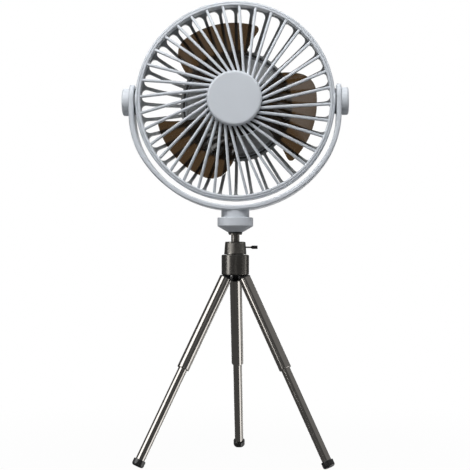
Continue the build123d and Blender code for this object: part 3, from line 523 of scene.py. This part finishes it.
def turned(radius, along, base, axis, turns, wrap=False):
    """Turned surface around an axis, as vertices and outward quads.

    Row i and angle t give base + along[i, t] * axis + radius[i, t] * (cos t * e1 + sin t * e2).
    radius and along have one row for each profile point, and one column or one for each angle.
    With wrap the last row joins the first.
    """
    first, second, axis = axis_frame(axis)
    turn = around(turns)[:, None]
    outwards = np.cos(turn) * first + np.sin(turn) * second
    rows = len(radius)
    radius = np.broadcast_to(radius, (rows, turns))
    along = np.broadcast_to(along, (rows, turns))
    points = np.asarray(base) + along[..., None] * axis + radius[..., None] * outwards
    row = np.arange(rows if wrap else rows - 1)[:, None]
    column = np.arange(turns)[None, :]
    here, below, right = row * turns, (row + 1) % rows * turns, (column + 1) % turns
    corners = [here + column, here + right, below + right, below + column]
    quads = np.stack(np.broadcast_arrays(*corners), axis=-1).reshape(-1, 4)
    points = points.reshape(-1, 3)
    middle = points - points.mean(0)
    a, b, c, d = (middle[quads[:, k]] for k in range(4))
    volume = (np.cross(a, b) * c).sum() + (np.cross(a, c) * d).sum()
    return points, quads if volume > 0 else quads[:, ::-1]


def joined(parts):
    """Several (vertices, quads) pairs as one."""
    points, quads, start = [], [], 0
    for part_points, part_quads in parts:
        points.append(part_points)
        quads.append(part_quads + start)
        start += len(part_points)
    return np.concatenate(points), np.concatenate(quads)


def make_piece(name, surface, material, body, nodes):
    """Mesh piece from vertices and quads, merged at its poles, that rides on a body."""
    merge, crease = 1e-7, math.radians(40)
    points, quads = surface
    mesh = bpy.data.meshes.new(name)
    mesh.from_pydata(points, [], quads)
    work = bmesh.new()
    work.from_mesh(mesh)
    bmesh.ops.remove_doubles(work, verts=work.verts, dist=merge)
    work.to_mesh(mesh)
    work.free()
    mesh.polygons.foreach_set("use_smooth", np.ones(len(mesh.polygons), bool))
    mesh.set_sharp_from_angle(angle=crease)
    mesh.materials.append(material)
    piece = bpy.data.objects.new(name, mesh)
    bpy.context.scene.collection.objects.link(piece)
    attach(piece, body)
    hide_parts(*nodes)


def rings_of(turns, *values):
    """Profile values as rows that stay the same all around."""
    return np.repeat(np.array(values, float)[:, None], turns, axis=1)


def triangle_wave(phase):
    """Triangle wave from 0 to 1 with period 1."""
    return 1 - np.abs(2 * (phase - np.floor(phase)) - 1)


def pressed(outside, depth, flank):
    """Depth of a mark pressed into a face: full inside its outline, with a sloping wall across it.

    outside is the distance from the outline, less than 0 inside.
    """
    return depth * np.clip(0.5 - outside / flank, 0, 1)


class FAN_OT_shell(bpy.types.Operator):
    """Give the grilles, yoke, collar and caps their moulded plastic."""

    bl_idname = "fan.shell"
    bl_label = "Shell finishes"

    def execute(self, context):
        look = context.scene.fan_shell
        shell = moulded_finish(
            "shell_plastic", look.shell, look.shell_roughness, look.grain, look.edge
        )
        dress(
            shell, "front_grille", "front_cap", "yoke", "yoke_collar", "pivot_cap_left",
            "pivot_cap_right",
        )
        # Painted shade darkens the motor drum's bore; the ribs keep the guard's grey, itself partly
        # painted shade; the rim takes the shell colour
        guard_rings = [
            (0.0, shade(look.guard, look.bore_painted_shade)),
            (look.drum, None),
            (look.rim, shade(look.shell)),
        ]
        # Painted shade in the groove around the hub, painted highlights on the lip and the rim,
        # grey disc between
        low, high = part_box("motor_plate")
        plate_radius = (high.x - low.x) / 2
        painted_highlight = shade(look.shell, look.painted_highlight_tone)
        plate_rings = [
            (0.0, shade(look.plate, look.groove_painted_shade)),
            (look.lip_highlight_radius, painted_highlight),
            (look.lip_highlight_radius + look.highlight_width, None),
            (plate_radius - look.highlight_width, painted_highlight),
        ]
        for finish, base, rings, node in (
            ("guard_plastic", look.guard, guard_rings, "rear_grille"),
            ("plate_plastic", look.plate, plate_rings, "motor_plate"),
            ("cover_plastic", look.guard, (), "rear_cover"),
        ):
            plastic = moulded_finish(
                finish, base, look.guard_roughness, look.grain, look.edge, rings=rings
            )
            dress(plastic, node)
        return {"FINISHED"}


class FAN_OT_blades(bpy.types.Operator):
    """Give the blades their smoked, see-through plastic."""

    bl_idname = "fan.blades"
    bl_label = "Blade finish"

    def execute(self, context):
        look = context.scene.fan_blades
        sockets = {
            "Transmission Weight": look.clear,
            "IOR": look.index,
            "Specular IOR Level": look.gloss,
        }
        smoke = moulded_finish(
            "smoked_plastic", look.smoke, look.roughness, grain=0.000003, edge=0.0004, scale=900.0,
            sockets=sockets,
        )
        dress(smoke, "fan_blade")
        return {"FINISHED"}


class FAN_OT_metal(bpy.types.Operator):
    """Give the tripod its polished metal and its black trim."""

    bl_idname = "fan.metal"
    bl_label = "Tripod finishes"

    def execute(self, context):
        look = context.scene.fan_metal
        turned_nickel = polished_finish(
            "black_nickel", look.turned, roughness=0.25, stretch=(40.0, 40.0, 5000.0),
            depth=0.000001, edge=0.0003,
        )
        dress(turned_nickel, "barrel", "ball_stud", "lock_lever")
        tube_nickel = polished_finish(
            "polished_tube", look.nickel, roughness=0.14, stretch=(700.0, 700.0, 40.0),
            depth=0.0000002, edge=0.0,
        )
        tubes = [f"leg_{stage}_{side}" for stage in ("upper", "lower") for side in SIDES]
        dress(tube_nickel, *tubes)
        black = moulded_finish(
            "black_plastic", look.black, roughness=0.4, grain=0.000012, edge=0.0003,
            sockets={"Specular IOR Level": look.black_gloss},
        )
        dress(black, "friction_washers", "lever_tip", "leg_hub", "switch_block")
        dress(black, *(f"leg_knuckle_{side}" for side in SIDES))
        rubber = moulded_finish(
            "washer_rubber", look.black, roughness=0.7, grain=0.00002, edge=0.0003, scale=1800.0
        )
        dress(rubber, "rubber_washer")
        return {"FINISHED"}


class FAN_OT_inside(bpy.types.Operator):
    """Give the screws, bushes, motor, cells and board their finishes."""

    bl_idname = "fan.inside"
    bl_label = "Inner finishes"

    def execute(self, context):
        look = context.scene.fan_metal
        dress(
            steel_finish("plated_steel", look.steel), "leg_pins", "swivel_screw", "swivel_washer",
            "motor_shaft", "motor_can", "motor_screws", "charge_socket",
        )
        brass = polished_finish(
            "turned_brass", look.brass, roughness=0.28, stretch=(500.0, 2500.0, 2500.0),
            depth=0.000003, edge=0.0002,
        )
        dress(brass, "thread_insert", "shaft_bushes", "blade_nut")
        nylon = moulded_finish(
            "natural_nylon", look.nylon, roughness=0.5, grain=0.000008, edge=0.0003
        )
        dress(nylon, "ball_seat", *(f"slide_bush_{side}" for side in SIDES))
        wrap = moulded_finish(
            "cell_wrap", look.wrap, roughness=0.25, grain=0.000004, edge=0.0004, scale=400.0
        )
        dress(wrap, "battery_cells")
        board = moulded_finish(
            "solder_mask", look.board, roughness=0.3, grain=0.00003, edge=0.0002, scale=700.0
        )
        dress(board, "control_board")
        return {"FINISHED"}


class FAN_OT_collar(bpy.types.Operator):
    """Cut the diamond knurl into the clamping collar."""

    bl_idname = "fan.collar"
    bl_label = "Knurled collar"

    def execute(self, context):
        look, metal = context.scene.fan_collar, context.scene.fan_metal
        low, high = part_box("knurled_collar")
        foot, height = (high.x - low.x) / 2, high.z - low.z
        turns_per_diamond, steps = 12, 90
        turns = look.knurl_count * turns_per_diamond
        rise = np.linspace(0, 1, steps)[:, None]
        # Two crossing sets of grooves: the lower of the two waves gives pointed diamonds
        diamonds = look.knurl_count * np.arange(turns)[None, :] / turns
        lean = look.knurl_slope * look.knurl_count * height / (2 * np.pi * look.top) * rise
        wave = np.minimum(triangle_wave(diamonds + lean), triangle_wave(diamonds - lean))
        inside = np.minimum(rise - look.knurl_start, look.knurl_end - rise)
        band = np.clip(inside / look.knurl_fade, 0, 1)
        wall = foot + (look.top - foot) * rise - look.knurl_depth * band * (1 - wave)
        wall_height = height - look.foot_edge - look.top_edge
        wall_level = np.repeat(low.z + look.foot_edge + wall_height * rise, turns, axis=1)
        # From the lower bore round the foot, up the wall, and down through mouth, throat and seat
        top_face = look.top - look.top_edge
        inner = (top_face, look.mouth, look.throat, look.seat, look.seat, look.bore)
        drops = (0.0, 0.0, look.throat_drop, look.seat_drop, look.bore_drop, look.bore_drop)
        radius = np.concatenate([rings_of(turns, look.bore, foot), wall, rings_of(turns, *inner)])
        along = np.concatenate(
            [rings_of(turns, low.z, low.z), wall_level, high.z - rings_of(turns, *drops)]
        )
        base = (BALL_CENTRE[0], BALL_CENTRE[1], 0.0)
        surface = turned(radius, along, base, (0, 0, 1), turns, wrap=True)
        nickel = polished_finish(
            "knurled_nickel", metal.turned, roughness=0.2, stretch=(300.0, 300.0, 900.0),
            depth=0.000001, edge=0.0001,
        )
        make_piece("knurl_ring", surface, nickel, "lock_collar", ["knurled_collar"])
        return {"FINISHED"}


class FAN_OT_feet(bpy.types.Operator):
    """Turn the rubber feet, rounded at mouth and sole."""

    bl_idname = "fan.feet"
    bl_label = "Rubber feet"

    def execute(self, context):
        look, metal = context.scene.fan_feet, context.scene.fan_metal
        rubber = moulded_finish(
            "foot_rubber", metal.black, roughness=0.28, grain=0.000003, edge=0.0002, scale=1500.0
        )
        turns, round_steps = 72, 14
        mouth, socket_floor = look.reach - look.height, look.reach - look.sole
        bend = np.linspace(0, np.pi / 2, round_steps)
        radius = np.concatenate(
            [
                [0, look.bore, look.bore],
                look.radius - look.lip_round * (1 - np.sin(bend)),
                look.radius - look.sole_round * (1 - np.cos(bend)),
                [0],
            ]
        )
        along = np.concatenate(
            [
                [socket_floor, socket_floor, mouth],
                mouth + look.lip_round * (1 - np.cos(bend)),
                look.reach - look.sole_round * (1 - np.sin(bend)),
                [look.reach],
            ]
        )
        for side in SIDES:
            pivot = JOINTS[f"fold_{side}"]["pos_m"]
            axis = JOINTS[f"extend_{side}"]["axis"]
            points, quads = turned(radius[:, None], along[:, None], pivot, axis, turns)
            # The sole is worn flat where it stands on the floor
            points[:, 2] = np.maximum(points[:, 2], 0)
            make_piece(
                f"rubber_foot_{side}", (points, quads), rubber, f"lower_{side}",
                [f"foot_{side}"],
            )
        return {"FINISHED"}


class FAN_OT_screws(bpy.types.Operator):
    """Press cross recesses into the screws of the rear cover."""

    bl_idname = "fan.screws"
    bl_label = "Cover screws"

    def execute(self, context):
        look, metal = context.scene.fan_screws, context.scene.fan_metal
        low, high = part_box("cover_screws")
        turns, steps, count = 96, 28, 4
        reach = np.linspace(0, look.face, steps)[:, None]
        across = np.abs(reach * np.cos(around(turns)))
        aside = np.abs(reach * np.sin(around(turns)))
        # Distance from the outline of a cross, which is the nearer of two bars
        cross = np.minimum(
            np.maximum(across - look.arm, aside - look.slot),
            np.maximum(aside - look.arm, across - look.slot),
        )
        dome = look.dome * (1 - (reach / look.head) ** 2)
        face = high.y - look.dome + dome - pressed(cross, look.recess, look.flank)
        edge, seat = high.y - look.head_edge, high.y - look.head_height
        along = np.concatenate([face, rings_of(turns, edge, seat, seat, low.y, low.y)])
        rim = rings_of(turns, look.head, look.head, look.shank, look.shank, 0.0)
        radius = np.concatenate([np.repeat(reach, turns, axis=1), rim])
        screws = []
        for turn in around(count):
            x, z = look.circle * np.cos(turn), look.circle * np.sin(turn)
            base = (FAN_CENTRE[0] + x, 0.0, FAN_CENTRE[2] + z)
            screws.append(turned(radius, along, base, (0, 1, 0), turns))
        steel = steel_finish("screw_steel", metal.steel)
        make_piece("cover_screw_set", joined(screws), steel, "head", ["cover_screws"])
        return {"FINISHED"}


class FAN_OT_button(bpy.types.Operator):
    """Press a plain power sign into the speed button."""

    bl_idname = "fan.button"
    bl_label = "Speed button"

    def execute(self, context):
        look, metal = context.scene.fan_button, context.scene.fan_metal
        low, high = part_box("speed_button")
        turns, steps, edge_steps = 192, 72, 8
        face_radius = look.radius - look.edge
        reach = np.linspace(0, face_radius, steps)
        x = reach[:, None] * np.sin(around(turns))
        z = reach[:, None] * np.cos(around(turns))
        # Distance from the outline of the sign: a ring that is open at the top, and a bar there
        ring = np.abs(np.hypot(x, z) - look.sign_radius) - look.sign_line
        ring = np.where(z > 0, np.maximum(ring, look.sign_gap - np.abs(x)), ring)
        bar = np.maximum(np.abs(x) - look.sign_line, np.abs(z - look.bar_middle) - look.bar_half)
        face = high.y - pressed(np.minimum(ring, bar), look.sign_depth, look.sign_flank)
        bend = np.linspace(0, np.pi / 2, edge_steps)[1:]
        edge_radius = face_radius + look.edge * np.sin(bend)
        edge_level = high.y - look.edge * (1 - np.cos(bend))
        radius = np.concatenate([reach, edge_radius, [look.radius, look.flange, look.flange, 0.0]])
        seat = low.y + look.flange_height
        along = np.concatenate([face, rings_of(turns, *edge_level, seat, seat, low.y, low.y)])
        base = (FAN_CENTRE[0], 0.0, FAN_CENTRE[2])
        surface = turned(radius[:, None], along, base, (0, 1, 0), turns)
        black = moulded_finish(
            "button_plastic", metal.black, roughness=0.35, grain=0.000008, edge=0.0003
        )
        make_piece("push_button", surface, black, "speed_button", ["speed_button"])
        return {"FINISHED"}


class FAN_OT_stage(bpy.types.Operator):
    """Set up the floor, the surrounding light, the lamps, the cards and the camera."""

    bl_idname = "fan.stage"
    bl_label = "Studio"

    def execute(self, context):
        scene, look = context.scene, context.scene.fan_stage
        scene.view_settings.view_transform = "Standard"
        self.lay_floor(scene, look)
        self.set_world(scene, look.fill)
        for lamp in LAMPS:
            self.hang_lamp(scene, *lamp)
        for card in CARDS:
            self.hang_card(scene, *card)
        self.place_camera(scene, look)
        return {"FINISHED"}

    def lay_floor(self, scene, look):
        """Pale floor that looks white, fades to plain white further out and keeps a soft shadow."""
        x, y = np.meshgrid((-look.floor_half, look.floor_half), (-look.floor_half, look.floor_half))
        mesh = bpy.data.meshes.new("floor")
        mesh.from_pydata(np.stack([x, y, 0 * x], axis=-1).reshape(-1, 3), [], [(0, 1, 3, 2)])
        material, tree, shader = start_finish("floor_white")
        set_values(shader, {"Base Color": shade((look.floor_tone,) * 3), "Roughness": 0.9})
        glow = put(tree, "ShaderNodeEmission", {"Color": WHITE, "Strength": 1.0})
        place = put(tree, "ShaderNodeTexCoord").outputs["Object"]
        reach = put(
            tree, "ShaderNodeVectorMath", links={0: place}, operation="LENGTH"
        ).outputs["Value"]
        spread = {
            "From Min": look.glow_start, "From Max": look.glow_end,
            "To Min": look.floor_glow, "To Max": 1.0,
        }
        white = put(tree, "ShaderNodeMapRange", spread, {"Value": reach}).outputs["Result"]
        share = put(
            tree, "ShaderNodeMath", links={0: self.seen_ray(tree), 1: white}, operation="MULTIPLY"
        ).outputs[0]
        mix = put(
            tree, "ShaderNodeMixShader", links={0: share, 1: shader.outputs[0], 2: glow.outputs[0]}
        )
        feed(tree, tree.nodes["Material Output"], {"Surface": mix.outputs[0]})
        mesh.materials.append(material)
        floor = bpy.data.objects.new("floor", mesh)
        floor.visible_glossy = False
        scene.collection.objects.link(floor)

    def seen_ray(self, tree):
        """One for rays that show the background: from the camera, in gloss and through glass."""
        path = put(tree, "ShaderNodeLightPath").outputs
        seen = path["Is Camera Ray"]
        for kind in ("Is Glossy Ray", "Is Transmission Ray"):
            seen = put(
                tree, "ShaderNodeMath", links={0: seen, 1: path[kind]}, operation="MAXIMUM"
            ).outputs[0]
        return seen

    def set_world(self, scene, fill):
        """White surroundings to the eye, softer as light."""
        world = bpy.data.worlds.new("studio")
        world.use_nodes = True
        tree = world.node_tree
        tree.nodes.clear()
        light = put(tree, "ShaderNodeBackground", {"Color": WHITE, "Strength": fill})
        white = put(tree, "ShaderNodeBackground", {"Color": WHITE, "Strength": 1.0})
        mix = put(
            tree, "ShaderNodeMixShader",
            links={0: self.seen_ray(tree), 1: light.outputs[0], 2: white.outputs[0]},
        )
        output = put(tree, "ShaderNodeOutputWorld", links={"Surface": mix.outputs[0]})
        output.is_active_output = True
        scene.world = world

    def hang_lamp(self, scene, name, place, width, tall, power):
        """Soft rectangular lamp that faces the fan's middle and isn't mirrored in gloss."""
        data = bpy.data.lights.new(name, "AREA")
        data.shape = "RECTANGLE"
        data.size, data.size_y, data.energy = width, tall, power
        lamp = bpy.data.objects.new(name, data)
        lamp.location = place
        aim = Vector(STUDIO_CENTRE) - lamp.location
        lamp.rotation_euler = aim.to_track_quat("-Z", "Y").to_euler()
        lamp.visible_glossy = False
        scene.collection.objects.link(lamp)

    def hang_card(self, scene, name, azimuths, elevations, distance, strength):
        """Studio card that only gloss shows: a patch of a sphere around the fan.

        Azimuth a, from the front to the right, and elevation e give the point
        centre + distance * (cos e sin a, -cos e cos a, sin e).
        """
        columns, rows = 33, 17
        a, e = np.meshgrid(
            np.radians(np.linspace(*azimuths, columns)), np.radians(np.linspace(*elevations, rows))
        )
        way = np.stack([np.cos(e) * np.sin(a), -np.cos(e) * np.cos(a), np.sin(e)], axis=-1)
        points = np.asarray(STUDIO_CENTRE) + distance * way.reshape(-1, 3)
        row, step = np.meshgrid(np.arange(rows - 1), np.arange(columns - 1), indexing="ij")
        first = (row * columns + step).ravel()
        quads = np.stack([first, first + 1, first + columns + 1, first + columns], axis=1)
        mesh = bpy.data.meshes.new(name)
        mesh.from_pydata(points, [], quads)
        material, tree, _ = start_finish(name)
        glow = put(tree, "ShaderNodeEmission", {"Color": WHITE, "Strength": strength})
        feed(tree, tree.nodes["Material Output"], {"Surface": glow.outputs[0]})
        mesh.materials.append(material)
        card = bpy.data.objects.new(name, mesh)
        card.visible_camera = card.visible_diffuse = card.visible_transmission = False
        card.visible_shadow = False
        scene.collection.objects.link(card)

    def place_camera(self, scene, look):
        """Camera level with the tripod's head, aimed at its axis."""
        data = bpy.data.cameras.new("camera")
        data.sensor_width = look.sensor
        data.lens = look.lens
        camera = bpy.data.objects.new("camera", data)
        cosine, sine = math.cos(look.azimuth), math.sin(look.azimuth)
        camera.location = (
            look.distance * sine + look.aside * cosine,
            FAN_CENTRE[1] - look.distance * cosine + look.aside * sine,
            look.height,
        )
        camera.rotation_euler = (math.pi / 2 + look.pitch, 0.0, look.azimuth)
        scene.collection.objects.link(camera)
        scene.camera = camera


OPERATORS = (
    FAN_OT_shell,
    FAN_OT_blades,
    FAN_OT_metal,
    FAN_OT_inside,
    FAN_OT_collar,
    FAN_OT_feet,
    FAN_OT_screws,
    FAN_OT_button,
    FAN_OT_stage,
)


class FAN_PT_looks(bpy.types.Panel):
    """Sidebar list of the fan's steps and settings."""

    bl_idname = "FAN_PT_looks"
    bl_label = "Fan looks"
    bl_space_type = "VIEW_3D"
    bl_region_type = "UI"
    bl_category = "Fan"

    def draw(self, context):
        for operator in OPERATORS:
            self.layout.operator(operator.bl_idname)
        for key, group in SETTINGS.items():
            box = self.layout.box()
            box.label(text=group.__doc__)
            for field in group.__annotations__:
                box.prop(getattr(context.scene, key), field)


def register():
    """Register the settings, the operators and the panel."""
    for key, group in SETTINGS.items():
        bpy.utils.register_class(group)
        setattr(bpy.types.Scene, key, PointerProperty(type=group))
    for item in OPERATORS + (FAN_PT_looks,):
        bpy.utils.register_class(item)


def unregister():
    """Take out what register put in."""
    for item in reversed(OPERATORS + (FAN_PT_looks,)):
        bpy.utils.unregister_class(item)
    for key, group in SETTINGS.items():
        delattr(bpy.types.Scene, key)
        bpy.utils.unregister_class(group)


def main():
    """Run every step in order."""
    register()
    bpy.ops.fan.shell()
    bpy.ops.fan.blades()
    bpy.ops.fan.metal()
    bpy.ops.fan.inside()
    bpy.ops.fan.collar()
    bpy.ops.fan.feet()
    bpy.ops.fan.screws()
    bpy.ops.fan.button()
    bpy.ops.fan.stage()


if __name__ == "__main__":
    main()
